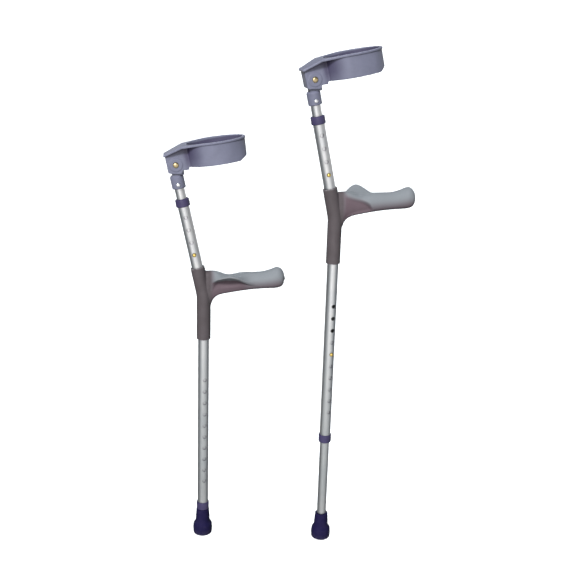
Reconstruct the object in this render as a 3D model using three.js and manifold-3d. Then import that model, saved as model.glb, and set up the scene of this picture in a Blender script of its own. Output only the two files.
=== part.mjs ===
// A pair of forearm (elbow) crutches with closed cuffs and anatomic grips: one tall, one folded short.
// Millimetres, +Z up. +X is the way the short crutch's handle points. The ferrules stand on z = 0.

import * as THREE from "three";
import { mergeVertices } from "three/addons/utils/BufferGeometryUtils.js";
import Module from "manifold-3d";

const wasm = await Module();
wasm.setup();

// ---------------------------------------------------------------------------------------------
// Driving dimensions
// ---------------------------------------------------------------------------------------------

const GAP = 0.3; // running clearance between neighbouring pieces
const ROUND = 20; // sides of a round section
const HOLE_SIDES = 10;

const HOLE_PITCH = 25.4;
const LEG_HOLES = 10;
const FOREARM_HOLES = 4;
const HOLE_RADIUS = 4.1;
const OUTER_TUBE = { radius: 11.1, bore: 9.8 };
const INNER_TUBE = { radius: 9.5, bore: 8.0 };

// Heights above the top leg hole, the datum that both crutches share.
const LOWER_COLLAR = { bottom: -298, top: -281, radius: 13 };
const SLEEVE = { bottom: 87, radius: 14 };
const BEND_HEIGHT = 178;
const BEND_RADIUS = 90;
const FOREARM_LEAN = 12.5;

// Distances up the leaning forearm axis, from the bend.
const SLEEVE_TOP = 59.5;
const FOREARM_BUTTON = 87.3;
const FOREARM_COLLAR = { bottom: 184.5, top: 199.5, radius: 13.8 };
const FITTING = { bottom: 220.5, shoulder: 246.7, radius: 13.2 };
const FITTING_RIVET = 229;
const PIVOT = { up: 267.7, forward: 4.1 };

const LEG_BUTTON_HEIGHT = 420.4; // above the floor, the same on both legs
const LEG_HOLE_TURN = 15; // the leg holes face this far forward of straight sideways
const TUBE_PAST_BUTTON = 38; // length of inner tube beyond its snap button

const SOLE_THICKNESS = 8;
const FERRULE_HEIGHT = 57.2;
const TIP_WASHER = { radius: 9.3, thickness: 1.6 };

const PIN = { radius: 3.8, foot: 7.2, crown: 14.3 };
const SPRING = { offset: 6.6, thickness: 0.7, width: 6, reach: 26, tail: 4 };
const PIN_STOW = 4.75; // how far a pin is pushed in when its tube covers it

const HANDLE_TILT = 5.1; // the grip rises towards its tip
const HANDLE_AXIS_HEIGHT = 200; // where the grip axis crosses x = 0
const CORE = { radius: 7, bore: 3.5, end: 145 };
const BOLT = { radius: 3, head: 5, headLength: 4 };
const BARREL_NUT = { radius: 5.5, length: 14 };
const PLUG = { radius: 5.2, crown: 4.2, tip: 160.5 };

const RING = { middle: 80, length: 115, width: 83, wall: 4 };
const BRACKET = { rear: -17.3, half: 16, boss: 12.5, bossHalf: 17 };
const FORK = { rear: -15, front: 16, half: 12.8, top: 14.5 };
const RIM = { rear: -20, half: 20, overhang: 1.7, thickness: 4 };
const TONGUE = { half: 10.7, radius: 11.5 };
const CUFF_RIVET = { radius: 3.5, head: 5.6, headHeight: 2.4 };
const PIVOT_WASHER = { radius: 8, inner: 11, outer: 12.5 };

// Where the two crutches stand, and how each is set. The ring's plane rises by `tilt` towards the front.
const CRUTCHES = [
  {
    hand: "right", x: -166.89, y: 13.91, yaw: 0, topHole: 355.5, tilt: 11.7, outward: -1, wingRise: 0, stowed: true,
  },
  {
    hand: "left", x: 84.75, y: -15.54, yaw: 6.7, topHole: 522, tilt: 14, outward: 1, wingRise: 16, stowed: false,
  },
];

// ---------------------------------------------------------------------------------------------
// Finishes
// ---------------------------------------------------------------------------------------------

const finish = (color, roughness, metalness) =>
  new THREE.MeshStandardMaterial({ color, roughness, metalness });

const FINISH = {
  aluminium: () => finish(0xc9c6c8, 0.32, 0.9),
  cuffPlastic: () => finish(0x62617d, 0.45, 0),
  sleevePlastic: () => finish(0x6d6668, 0.6, 0),
  collarPlastic: () => finish(0x37324e, 0.5, 0),
  rubber: () => finish(0x221f38, 0.75, 0),
  brass: () => finish(0xc79a33, 0.3, 1),
  steel: () => finish(0xb9b9bd, 0.35, 1),
  darkPlastic: () => finish(0x3c3a44, 0.5, 0),
};

// ---------------------------------------------------------------------------------------------
// Shape helpers
// ---------------------------------------------------------------------------------------------

const rad = THREE.MathUtils.degToRad;

function solid(geometry) {
  const bare = geometry.index ? geometry.toNonIndexed() : geometry.clone();
  bare.deleteAttribute("normal");
  bare.deleteAttribute("uv");
  const merged = mergeVertices(bare, 1e-3);
  return new wasm.Manifold(
    new wasm.Mesh({
      numProp: 3,
      vertProperties: merged.attributes.position.array,
      triVerts: new Uint32Array(merged.index.array),
    }),
  );
}

function geometryOf(body) {
  const { vertProperties, triVerts } = body.getMesh();
  const geometry = new THREE.BufferGeometry();
  geometry.setAttribute("position", new THREE.BufferAttribute(vertProperties, 3));
  geometry.setIndex(new THREE.BufferAttribute(triVerts, 1));
  geometry.computeVertexNormals();
  return geometry;
}

const join = (...geometries) => geometryOf(geometries.map(solid).reduce((a, b) => a.add(b)));

function cut(geometry, ...cutters) {
  return geometryOf(cutters.map(solid).reduce((a, b) => a.subtract(b), solid(geometry)));
}

// A cylinder along Z from one height to another.
function rod(radius, from, to, sides = ROUND) {
  return new THREE.CylinderGeometry(radius, radius, to - from, sides)
    .rotateX(Math.PI / 2)
    .translate(0, 0, (from + to) / 2);
}

// A cylinder along Y at (x, z).
function crossRod(radius, from, to, x, z, sides = ROUND) {
  return new THREE.CylinderGeometry(radius, radius, to - from, sides).translate(x, (from + to) / 2, z);
}

// A cylinder along X at height z.
function longRod(radius, from, to, z, sides = ROUND) {
  return new THREE.CylinderGeometry(radius, radius, to - from, sides)
    .rotateZ(Math.PI / 2)
    .translate((from + to) / 2, 0, z);
}

// A profile of [radius, height] pairs turned about Z: outside upwards, then inside downwards.
function turned(profile, sides = ROUND) {
  const points = profile.map(([r, h]) => new THREE.Vector2(r, h));
  return new THREE.LatheGeometry(points, sides).rotateX(Math.PI / 2);
}

function ring(outer, inner, bottom, top, sides = ROUND) {
  const profile = [
    [outer, bottom],
    [outer, top],
    [inner, top],
    [inner, bottom],
    [outer, bottom],
  ];
  return turned(profile, sides);
}

// A shape drawn in (x, z) and given a thickness along Y, from one side to the other.
function plate(shape, from, to, segments = 12) {
  return new THREE.ExtrudeGeometry(shape, { depth: to - from, bevelEnabled: false, curveSegments: segments })
    .rotateX(Math.PI / 2)
    .translate(0, to, 0);
}

// A shape drawn in (x, y) and given a height along Z.
function slab(shape, from, to, segments = 10) {
  return new THREE.ExtrudeGeometry(shape, {
    depth: to - from,
    bevelEnabled: false,
    curveSegments: segments,
  }).translate(0, 0, from);
}

function box(from, to) {
  const size = to.map((v, i) => v - from[i]);
  const middle = to.map((v, i) => (v + from[i]) / 2);
  return new THREE.BoxGeometry(...size).translate(...middle);
}

// Smooth interpolation through [x, value] pairs, level at both ends.
function through(pairs) {
  return (x) => {
    if (x <= pairs[0][0]) return pairs[0][1];
    const last = pairs.length - 1;
    if (x >= pairs[last][0]) return pairs[last][1];
    const i = pairs.findIndex(([px], k) => k < last && x <= pairs[k + 1][0] && x >= px);
    const slope = (k) =>
      k <= 0 || k >= last ? 0 : (pairs[k + 1][1] - pairs[k - 1][1]) / (pairs[k + 1][0] - pairs[k - 1][0]);
    const span = pairs[i + 1][0] - pairs[i][0];
    const t = (x - pairs[i][0]) / span;
    const rise = 3 * t * t - 2 * t * t * t;
    const leave = (t * t * t - 2 * t * t + t) * span * slope(i);
    const arrive = (t * t * t - t * t) * span * slope(i + 1);
    return pairs[i][1] * (1 - rise) + pairs[i + 1][1] * rise + leave + arrive;
  };
}

// ---------------------------------------------------------------------------------------------
// The bent main tube's axis, in the crutch's own frame
// ---------------------------------------------------------------------------------------------

// The point and direction on the axis. The distance is counted from the bend, down being negative.
function axisAt(distance, topHole) {
  const lean = rad(FOREARM_LEAN);
  const tangent = BEND_RADIUS * Math.tan(lean / 2);
  const bend = topHole + BEND_HEIGHT;
  if (distance <= -tangent) return { x: 0, z: bend + distance, lean: 0 };
  if (distance >= tangent) {
    return { x: -distance * Math.sin(lean), z: bend + distance * Math.cos(lean), lean };
  }
  const turn = (lean * (distance + tangent)) / (2 * tangent);
  const x = -BEND_RADIUS * (1 - Math.cos(turn));
  return { x, z: bend - tangent + BEND_RADIUS * Math.sin(turn), lean: turn };
}

// A round or ring-shaped section carried along the axis from one distance to the other.
function alongAxis(radius, bore, from, to, topHole) {
  const tangent = BEND_RADIUS * Math.tan(rad(FOREARM_LEAN) / 2);
  const bends = [-1, 0, 1].map((t) => t * tangent);
  const stations = [from, ...bends.filter((d) => d > from && d < to), to];
  const section = new THREE.Shape().absarc(0, 0, radius, 0, 2 * Math.PI);
  if (bore) section.holes.push(new THREE.Path().absarc(0, 0, bore, 0, 2 * Math.PI, true));
  const steps = stations.length - 1;
  const geometry = new THREE.ExtrudeGeometry(section, {
    depth: steps,
    steps,
    bevelEnabled: false,
    curveSegments: ROUND / 2,
  });
  const position = geometry.attributes.position;
  for (let i = 0; i < position.count; i += 1) {
    const at = axisAt(stations[Math.round(position.getZ(i))], topHole);
    const across = position.getX(i);
    position.setX(i, at.x + across * Math.cos(at.lean));
    position.setZ(i, at.z + across * Math.sin(at.lean));
  }
  return geometry;
}

// ---------------------------------------------------------------------------------------------
// Tubes, collars and the ferrule
// ---------------------------------------------------------------------------------------------

// A cutter for one snap-button hole on the side that faces `turn` degrees forward of -Y.
function sideHole(x, z, turn) {
  return crossRod(HOLE_RADIUS, -16, -5, 0, 0, HOLE_SIDES).rotateZ(rad(turn)).translate(x, 0, z);
}

function mainTube(topHole) {
  const from = LOWER_COLLAR.bottom + 4.5 - BEND_HEIGHT;
  const to = FOREARM_COLLAR.top - 4.5;
  const tube = alongAxis(OUTER_TUBE.radius, OUTER_TUBE.bore, from, to, topHole);
  const cutters = [];
  for (let k = 0; k < LEG_HOLES; k += 1) {
    cutters.push(sideHole(0, topHole - k * HOLE_PITCH, LEG_HOLE_TURN));
  }
  for (let k = 0; k < FOREARM_HOLES; k += 1) {
    const at = axisAt(FOREARM_BUTTON + k * HOLE_PITCH, topHole);
    cutters.push(
      crossRod(HOLE_RADIUS, -16, -5, 0, 0, HOLE_SIDES).rotateY(-at.lean).translate(at.x, 0, at.z),
    );
  }
  cutters.push(onHandleAxis(longRod(BOLT.radius + GAP, 0, 30, 0, HOLE_SIDES), topHole));
  return cut(tube, ...cutters);
}

// A moulded collar: a cap over the outer tube's end with a lip round the inner tube.
function collar(radius, lipEnd, openEnd) {
  const lip = lipEnd + Math.sign(openEnd - lipEnd) * 4;
  const seat = OUTER_TUBE.radius + GAP;
  const guide = INNER_TUBE.radius + 0.25;
  const chamfer = Math.sign(openEnd - lipEnd) * 1.6;
  const profile = [
    [guide, lipEnd],
    [radius - 1.6, lipEnd],
    [radius, lipEnd + chamfer],
    [radius, openEnd - chamfer],
    [radius - 1, openEnd],
    [seat, openEnd],
    [seat, lip],
    [guide, lip],
    [guide, lipEnd],
  ];
  return turned(openEnd > lipEnd ? profile : profile.reverse());
}

function ferrule() {
  const profile = [
    [0, 0],
    [18, 0],
    [20, 2.4],
    [20, 20.5],
    [19, 23],
    [15, 29],
    [13.6, FERRULE_HEIGHT - 1.2],
    [12.6, FERRULE_HEIGHT],
    [INNER_TUBE.radius + GAP, FERRULE_HEIGHT],
    [INNER_TUBE.radius + GAP, SOLE_THICKNESS],
    [0, SOLE_THICKNESS],
  ];
  return turned(profile, 24);
}

function tipWasher() {
  const bottom = SOLE_THICKNESS + GAP;
  return rod(TIP_WASHER.radius, bottom, bottom + TIP_WASHER.thickness);
}

function legTube() {
  const bottom = SOLE_THICKNESS + TIP_WASHER.thickness + 2 * GAP;
  const tube = ring(INNER_TUBE.radius, INNER_TUBE.bore, bottom, LEG_BUTTON_HEIGHT + TUBE_PAST_BUTTON);
  return cut(tube, sideHole(0, LEG_BUTTON_HEIGHT, LEG_HOLE_TURN));
}

function forearmTube() {
  const bottom = FOREARM_BUTTON - TUBE_PAST_BUTTON;
  const tube = ring(INNER_TUBE.radius, INNER_TUBE.bore, bottom, FITTING.shoulder - 6);
  const rivetHole = crossRod(2.8, -12, 12, 0, FITTING_RIVET, 12);
  return cut(tube, sideHole(0, FOREARM_BUTTON, 0), rivetHole);
}

// ---------------------------------------------------------------------------------------------
// Snap buttons
// ---------------------------------------------------------------------------------------------

// The pin points along -Y with its foot on the spring, pushed in by `stow`.
function buttonPin(stow) {
  const profile = [
    [0, PIN.foot],
    [PIN.radius, PIN.foot],
    [PIN.radius, PIN.crown - 1.9],
    [PIN.radius * 0.8, PIN.crown - 0.7],
    [PIN.radius * 0.4, PIN.crown - 0.1],
    [0, PIN.crown],
  ];
  return turned(profile, 12).rotateX(Math.PI / 2).translate(0, stow, 0);
}

// A hairpin of spring strip. Its bend points along `way` (1 up, -1 down) from the pin.
function hairpin(way, stow) {
  const { offset, thickness, width, reach, tail } = SPRING;
  const half = thickness / 2;
  const tip = -offset + stow;
  const outline = new THREE.Shape();
  outline.moveTo(tip - half, -tail);
  outline.lineTo(tip - half, tail);
  outline.lineTo(-offset - half, reach);
  outline.absarc(0, reach, offset + half, Math.PI, 0, true);
  outline.lineTo(offset + half, 0);
  outline.lineTo(offset - half, 0);
  outline.lineTo(offset - half, reach);
  outline.absarc(0, reach, offset - half, 0, Math.PI, false);
  outline.lineTo(tip + half, tail);
  outline.lineTo(tip + half, -tail);
  outline.closePath();
  const strip = new THREE.ExtrudeGeometry(outline, { depth: width, bevelEnabled: false, curveSegments: 8 })
    .translate(0, 0, -width / 2)
    .rotateY(Math.PI / 2)
    .rotateX(Math.PI / 2);
  return way > 0 ? strip : strip.rotateY(Math.PI);
}

// ---------------------------------------------------------------------------------------------
// Handle
// ---------------------------------------------------------------------------------------------

// Carries a shape built along X at height 0 onto the grip's own axis.
function onHandleAxis(geometry, topHole) {
  return geometry.rotateY(-rad(HANDLE_TILT)).translate(0, 0, topHole + HANDLE_AXIS_HEIGHT);
}

// The grip's outline from the side: heights above the top leg hole, by distance forward.
const GRIP_TOP = through([
  [0, 229],
  [22, 229],
  [48, 221.5],
  [72, 225.5],
  [114, 227.5],
  [131, 232],
  [144.5, 237],
  [152, 233],
  [157, 224],
  [160, 214.5],
]);
const GRIP_BOTTOM = through([
  [0, 150],
  [13, 156],
  [18, 169],
  [27, 178],
  [45, 183.5],
  [90, 190.5],
  [120, 193],
  [142, 194],
  [151, 197.5],
  [157, 204],
  [160, 212.5],
]);
const GRIP_HALF_WIDTH = through([
  [0, 10],
  [20, 13.5],
  [50, 15],
  [110, 16],
  [130, 17],
  [143, 18],
  [152, 15],
  [157, 9.5],
  [160, 1],
]);
const WING_REACH = through([
  [8, 0],
  [40, 14],
  [56, 12],
  [95, 0],
]);
const WING_LIFT = through([
  [8, 0],
  [44, 13],
  [70, 8],
  [95, 0],
]);
const GRIP_STATIONS = [2, 10, 18, 26, 36, 48, 60, 72, 84, 100, 116, 128, 137, 145, 152, 157, 160];

// A cylinder whose rings are drawn out to the grip's section at each station.
function grip({ outward, wingRise, topHole }) {
  const steps = GRIP_STATIONS.length - 1;
  const geometry = new THREE.CylinderGeometry(1, 1, steps, ROUND, steps);
  const position = geometry.attributes.position;
  for (let i = 0; i < position.count; i += 1) {
    const x = GRIP_STATIONS[Math.round(position.getY(i) + steps / 2)];
    const spread = position.getX(i) * -outward;
    const height = position.getZ(i);
    const out = Math.max(0, -spread);
    const middle = (GRIP_TOP(x) + GRIP_BOTTOM(x)) / 2;
    const half = (GRIP_TOP(x) - GRIP_BOTTOM(x)) / 2;
    const lift = WING_LIFT(x) * (1 + wingRise / 13) * out * out;
    const y = position.getX(i) * (GRIP_HALF_WIDTH(x) + WING_REACH(x) * out);
    position.setXYZ(i, x, y, topHole + middle - height * half + lift);
  }
  return geometry;
}

function handleMoulding(crutch) {
  const { topHole } = crutch;
  const from = SLEEVE.bottom - BEND_HEIGHT;
  const sleeve = alongAxis(SLEEVE.radius, 0, from, SLEEVE_TOP, topHole);
  const tubeSpace = alongAxis(OUTER_TUBE.radius + GAP, 0, from - 5, SLEEVE_TOP + 30, topHole);
  const coreSpace = onHandleAxis(longRod(CORE.radius + GAP, 0, CORE.end + GAP, 0, 16), topHole);
  const plugSpace = onHandleAxis(longRod(PLUG.radius + GAP, CORE.end, 180, 0, 16), topHole);
  return cut(join(sleeve, grip(crutch)), tubeSpace, coreSpace, plugSpace);
}

function handleCore(topHole) {
  const rodAlong = onHandleAxis(longRod(CORE.radius, 4, CORE.end, 0, 16), topHole);
  const bore = onHandleAxis(longRod(CORE.bore, 0, CORE.end + 5, 0, 12), topHole);
  const tubeSpace = alongAxis(OUTER_TUBE.radius + GAP, 0, -40, SLEEVE_TOP + 20, topHole);
  return cut(rodAlong, bore, tubeSpace);
}

function handleBolt(topHole) {
  const shank = longRod(BOLT.radius, -9, CORE.end + GAP + 1, 0, 12);
  const headFrom = CORE.end + GAP;
  const head = longRod(BOLT.head, headFrom, headFrom + BOLT.headLength, 0, 6);
  return onHandleAxis(join(shank, head), topHole);
}

function barrelNut(topHole) {
  const barrel = crossRod(BARREL_NUT.radius, -BARREL_NUT.length / 2, BARREL_NUT.length / 2, -4.5, 0, 16);
  const thread = longRod(BOLT.radius + GAP, -20, 20, 0, 12);
  return onHandleAxis(cut(barrel, thread), topHole);
}

function endPlug(topHole) {
  const from = CORE.end + BOLT.headLength + 3 * GAP;
  const profile = [
    [0, from],
    [PLUG.radius, from],
    [PLUG.radius, PLUG.tip - 2],
    [PLUG.crown, PLUG.tip],
    [PLUG.crown * 0.55, PLUG.tip + 1],
    [0, PLUG.tip + 1.3],
  ];
  return onHandleAxis(turned(profile, 16).rotateY(Math.PI / 2), topHole);
}

// ---------------------------------------------------------------------------------------------
// Tube-end fitting and cuff, in the pivot's frame: the tube below, the arm opening forward
// ---------------------------------------------------------------------------------------------

function fittingBody() {
  const low = FITTING.bottom - PIVOT.up;
  const shoulder = FITTING.shoulder - PIVOT.up;
  const profile = [
    [INNER_TUBE.radius + GAP, low],
    [FITTING.radius - 1.2, low],
    [FITTING.radius, low + 1.2],
    [FITTING.radius, shoulder - 3],
    [FITTING.radius - 3, shoulder],
    [0, shoulder],
    [0, shoulder - 5.5],
    [INNER_TUBE.radius + GAP, shoulder - 5.5],
    [INNER_TUBE.radius + GAP, low],
  ];
  const barrel = turned(profile).translate(-PIVOT.forward, 0, 0);
  const side = new THREE.Shape();
  side.moveTo(-TONGUE.radius, shoulder - 1);
  side.lineTo(TONGUE.radius, shoulder - 1);
  side.lineTo(TONGUE.radius, 0);
  side.absarc(0, 0, TONGUE.radius, 0, Math.PI);
  side.closePath();
  const tongue = plate(side, -TONGUE.half, TONGUE.half, 10);
  const pivotHole = crossRod(CUFF_RIVET.radius + GAP, -20, 20, 0, 0, 12);
  const rivetHole = crossRod(2.8, -20, 20, -PIVOT.forward, FITTING_RIVET - PIVOT.up, 12);
  return cut(join(barrel, tongue), pivotHole, rivetHole);
}

// A shank along Y with a domed head on each end.
function rivet(shank, head, height, face, x, z) {
  const profile = [
    [0, -face - height],
    [head * 0.55, -face - height * 0.9],
    [head * 0.9, -face - height * 0.45],
    [head, -face - GAP],
    [shank, -face - GAP],
    [shank, face + GAP],
    [head, face + GAP],
    [head * 0.9, face + height * 0.45],
    [head * 0.55, face + height * 0.9],
    [0, face + height],
  ];
  return turned(profile, 12).rotateX(-Math.PI / 2).translate(x, 0, z);
}

// The cuff from the side: a bracket with its ears at the rear, then the ring, chamfered at the front.
function cuffSide() {
  const side = new THREE.Shape();
  side.moveTo(RIM.rear - 5, 20.4);
  side.lineTo(BRACKET.rear, 18);
  side.lineTo(BRACKET.rear, -10.5);
  side.quadraticCurveTo(BRACKET.rear, -13.8, -13.5, -14.6);
  side.lineTo(4, -18.4);
  side.quadraticCurveTo(9, -19, 10, -15);
  side.lineTo(11.5, -12.8);
  side.lineTo(22.5, -13.6);
  side.lineTo(24, -9);
  side.lineTo(122, -13.2);
  side.lineTo(135.3, -6.3);
  side.lineTo(138, 24.5);
  side.lineTo(141, 29);
  side.lineTo(60, 33.2);
  side.lineTo(17, 33);
  side.closePath();
  return side;
}

// The rim from the side: the sloping deck over the bracket, then the ring's top edge.
function rimSide() {
  const { thickness } = RIM;
  const side = new THREE.Shape();
  side.moveTo(RIM.rear - 5, 20.4);
  side.lineTo(17, 33);
  side.lineTo(60, 33.2);
  side.lineTo(141, 29);
  side.lineTo(141, 29 - thickness);
  side.lineTo(60, 33.2 - thickness);
  side.lineTo(17, 33 - thickness);
  side.lineTo(RIM.rear - 5, 20.4 - thickness);
  side.closePath();
  return side;
}

function oval(grow) {
  const { middle, length, width } = RING;
  return new THREE.Shape().absellipse(middle, 0, length / 2 + grow, width / 2 + grow, 0, 2 * Math.PI);
}

function bracketPlan() {
  const { rear, half } = BRACKET;
  const plan = new THREE.Shape();
  plan.moveTo(rear + 3, -half);
  plan.lineTo(40, -half);
  plan.lineTo(40, half);
  plan.lineTo(rear + 3, half);
  plan.quadraticCurveTo(rear, half, rear, half - 3);
  plan.lineTo(rear, 3 - half);
  plan.quadraticCurveTo(rear, -half, rear + 3, -half);
  return plan;
}

// The deck in plan, spreading from the rear corners to meet the ring's rim.
function deckPlan() {
  const { rear, half, overhang } = RIM;
  const meet = { x: RING.middle - 24, y: (RING.width / 2 + overhang) * 0.91 };
  const plan = new THREE.Shape();
  plan.moveTo(rear + 4, -half);
  plan.lineTo(meet.x, -meet.y);
  plan.lineTo(meet.x, meet.y);
  plan.lineTo(rear + 4, half);
  plan.quadraticCurveTo(rear, half, rear, half - 4);
  plan.lineTo(rear, 4 - half);
  plan.quadraticCurveTo(rear, -half, rear + 4, -half);
  return plan;
}

function cuff() {
  const upright = (plan, segments) => solid(slab(plan, -30, 50, segments));
  const sideways = (side) => solid(plate(side, -60, 60, 5));
  const walls = upright(bracketPlan(), 4).add(upright(oval(0), 18)).intersect(sideways(cuffSide()));
  const rim = upright(deckPlan(), 4).add(upright(oval(RIM.overhang), 18)).intersect(sideways(rimSide()));
  const boss = solid(crossRod(BRACKET.boss, -BRACKET.bossHalf, BRACKET.bossHalf, 0, 0));
  const armOpening = upright(oval(-RING.wall), 18);
  const fork = solid(box([FORK.rear, -FORK.half, -30], [FORK.front, FORK.half, FORK.top]));
  const pivotHole = solid(crossRod(CUFF_RIVET.radius + GAP, -20, 20, 0, 0, 12));
  return geometryOf(walls.add(rim).add(boss).subtract(armOpening).subtract(fork).subtract(pivotHole));
}

function pivotWasher(side) {
  const washer = ring(PIVOT_WASHER.radius, CUFF_RIVET.radius + GAP, PIVOT_WASHER.inner, PIVOT_WASHER.outer, 20);
  return washer.rotateX((-side * Math.PI) / 2);
}

// ---------------------------------------------------------------------------------------------
// One crutch
// ---------------------------------------------------------------------------------------------

function crutch(settings) {
  const { hand, x, y, yaw, topHole, tilt, stowed } = settings;
  const stow = stowed ? PIN_STOW : 0;
  const whole = new THREE.Group();
  whole.position.set(x, y, 0);
  whole.rotation.z = rad(yaw);

  const add = (parent, name, geometry, material) => {
    const mesh = new THREE.Mesh(geometry, material);
    mesh.name = `${hand}_${name}`;
    parent.add(mesh);
  };

  add(whole, "main_tube", mainTube(topHole), FINISH.aluminium());
  add(whole, "handle_moulding", handleMoulding(settings), FINISH.sleevePlastic());
  add(whole, "handle_core", handleCore(topHole), FINISH.steel());
  add(whole, "handle_bolt", handleBolt(topHole), FINISH.steel());
  add(whole, "handle_barrel_nut", barrelNut(topHole), FINISH.steel());
  add(whole, "handle_end_plug", endPlug(topHole), FINISH.darkPlastic());
  const lowerCollar = collar(LOWER_COLLAR.radius, topHole + LOWER_COLLAR.bottom, topHole + LOWER_COLLAR.top);
  add(whole, "lower_collar", lowerCollar, FINISH.collarPlastic());

  add(whole, "leg_tube", legTube(), FINISH.aluminium());
  add(whole, "tip_washer", tipWasher(), FINISH.steel());
  add(whole, "ferrule", ferrule(), FINISH.rubber());
  const legButton = new THREE.Group();
  legButton.position.z = LEG_BUTTON_HEIGHT;
  legButton.rotation.z = rad(LEG_HOLE_TURN);
  whole.add(legButton);
  add(legButton, "leg_button", buttonPin(stow), FINISH.brass());
  add(legButton, "leg_button_spring", hairpin(1, stow), FINISH.steel());

  const forearm = new THREE.Group();
  forearm.position.z = topHole + BEND_HEIGHT;
  forearm.rotation.y = -rad(FOREARM_LEAN);
  whole.add(forearm);
  const forearmCollar = collar(FOREARM_COLLAR.radius, FOREARM_COLLAR.top, FOREARM_COLLAR.bottom);
  add(forearm, "forearm_collar", forearmCollar, FINISH.collarPlastic());
  add(forearm, "forearm_tube", forearmTube(), FINISH.aluminium());
  const forearmButton = new THREE.Group();
  forearmButton.position.z = FOREARM_BUTTON;
  forearm.add(forearmButton);
  add(forearmButton, "forearm_button", buttonPin(0), FINISH.brass());
  add(forearmButton, "forearm_button_spring", hairpin(-1, 0), FINISH.steel());

  const pivot = new THREE.Group();
  pivot.position.set(PIVOT.forward, 0, PIVOT.up);
  forearm.add(pivot);
  add(pivot, "cuff_fitting", fittingBody(), FINISH.cuffPlastic());
  const fittingRivet = rivet(2.5, 3.6, 1.9, FITTING.radius - 0.1, -PIVOT.forward, FITTING_RIVET - PIVOT.up);
  add(pivot, "fitting_rivet", fittingRivet, FINISH.steel());
  const { radius, head, headHeight } = CUFF_RIVET;
  add(pivot, "cuff_rivet", rivet(radius, head, headHeight, BRACKET.bossHalf, 0, 0), FINISH.brass());
  add(pivot, "near_pivot_washer", pivotWasher(-1), FINISH.darkPlastic());
  add(pivot, "far_pivot_washer", pivotWasher(1), FINISH.darkPlastic());

  const cuffFrame = new THREE.Group();
  cuffFrame.rotation.y = -rad(tilt - FOREARM_LEAN);
  pivot.add(cuffFrame);
  add(cuffFrame, "cuff", cuff(), FINISH.cuffPlastic());
  return whole;
}

const pair = new THREE.Group();
for (const settings of CRUTCHES) pair.add(crutch(settings));

export default pair;
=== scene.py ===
# A pair of forearm crutches with closed cuffs: fine meshes, finishes and a studio round the packed
# CAD frame. Shapes are built in millimetres, each about its own crutch, forearm, grip or pivot, and
# are then placed in metres where the CAD has them.
import bmesh
import bpy
from math import cos, hypot, pi, radians, sin, tan
from mathutils import Matrix, Vector


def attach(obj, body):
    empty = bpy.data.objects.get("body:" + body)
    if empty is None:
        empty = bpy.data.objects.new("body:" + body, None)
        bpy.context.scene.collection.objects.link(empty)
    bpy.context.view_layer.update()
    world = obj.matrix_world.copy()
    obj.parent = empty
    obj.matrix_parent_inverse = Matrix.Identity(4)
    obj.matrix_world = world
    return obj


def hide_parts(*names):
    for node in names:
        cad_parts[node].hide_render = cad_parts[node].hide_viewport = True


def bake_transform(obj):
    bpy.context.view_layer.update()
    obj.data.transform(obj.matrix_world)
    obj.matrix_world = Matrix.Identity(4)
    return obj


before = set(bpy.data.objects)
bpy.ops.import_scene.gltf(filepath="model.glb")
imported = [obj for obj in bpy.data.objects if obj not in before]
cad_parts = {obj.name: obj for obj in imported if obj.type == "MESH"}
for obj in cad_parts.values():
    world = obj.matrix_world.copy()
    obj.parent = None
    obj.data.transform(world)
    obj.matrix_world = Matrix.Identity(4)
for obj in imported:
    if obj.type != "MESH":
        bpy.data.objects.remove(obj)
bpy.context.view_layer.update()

# ------------------------------------------------------------------------------------------------
# Dimensions, as in the CAD
# ------------------------------------------------------------------------------------------------

GAP = 0.3  # running clearance between neighbouring pieces
HOLE_PITCH, HOLE_RADIUS = 25.4, 4.1
LEG_HOLES, FOREARM_HOLES = 10, 4
LEG_TURN = radians(15)  # the leg holes face this far forward of straight sideways
OUTER, OUTER_BORE = 11.1, 9.8  # radii of the outer tube
INNER, INNER_BORE = 9.5, 8.0  # radii of the leg and forearm tubes that slide in it
PAST_BUTTON = 38  # length of inner tube beyond its snap button
COLLAR_LIP = 4  # thickness of a collar's end
TUBE_END = COLLAR_LIP + 0.5  # from a collar's end to the outer tube's end inside it

# Heights above the top leg hole, the datum that both crutches share.
LOWER_COLLAR = (-298, -281, 13.0)  # bottom, top and radius
SLEEVE_BOTTOM, SLEEVE = 87, 14.0
BEND, BEND_RADIUS, LEAN = 178, 90, radians(12.5)
TANGENT = BEND_RADIUS * tan(LEAN / 2)
HANDLE_AXIS, HANDLE_TILT = 200, radians(5.1)

# Distances up the leaning forearm's axis, from the bend.
SLEEVE_TOP = 59.5
FOREARM_BUTTON = 87.3
FOREARM_COLLAR = (184.5, 199.5, 13.8)
FITTING_BOTTOM, SHOULDER, FITTING = 220.5, 246.7, 13.2
FITTING_RIVET = 229
PIVOT_UP, PIVOT_FORWARD = 267.7, 4.1

# Heights above the floor, the same on both crutches.
SOLE, FERRULE_TOP = 8, 57.2
LEG_BUTTON = 420.4
TIP_WASHER = 1.6  # thickness

# The snap buttons, measured out from the tube's axis, and their springs.
PIN, PIN_FOOT, PIN_CROWN, PIN_DOME = 3.8, 7.2, 14.3, 2.5
SPRING_OFFSET, SPRING_REACH, SPRING_TAIL, SPRING_WIDTH, SPRING_STRIP = 6.6, 26, 4, 6, 0.7

# The grip's plug and the bores behind it, along the grip's axis.
CORE_BORE, CORE_BORE_END = 7.3, 145.3
PLUG_BORE, PLUG_BORE_START, PLUG_BORE_END = 5.5, 145, 180
PLUG, PLUG_START, PLUG_TIP = 5.2, 149.9, 160.5

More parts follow.
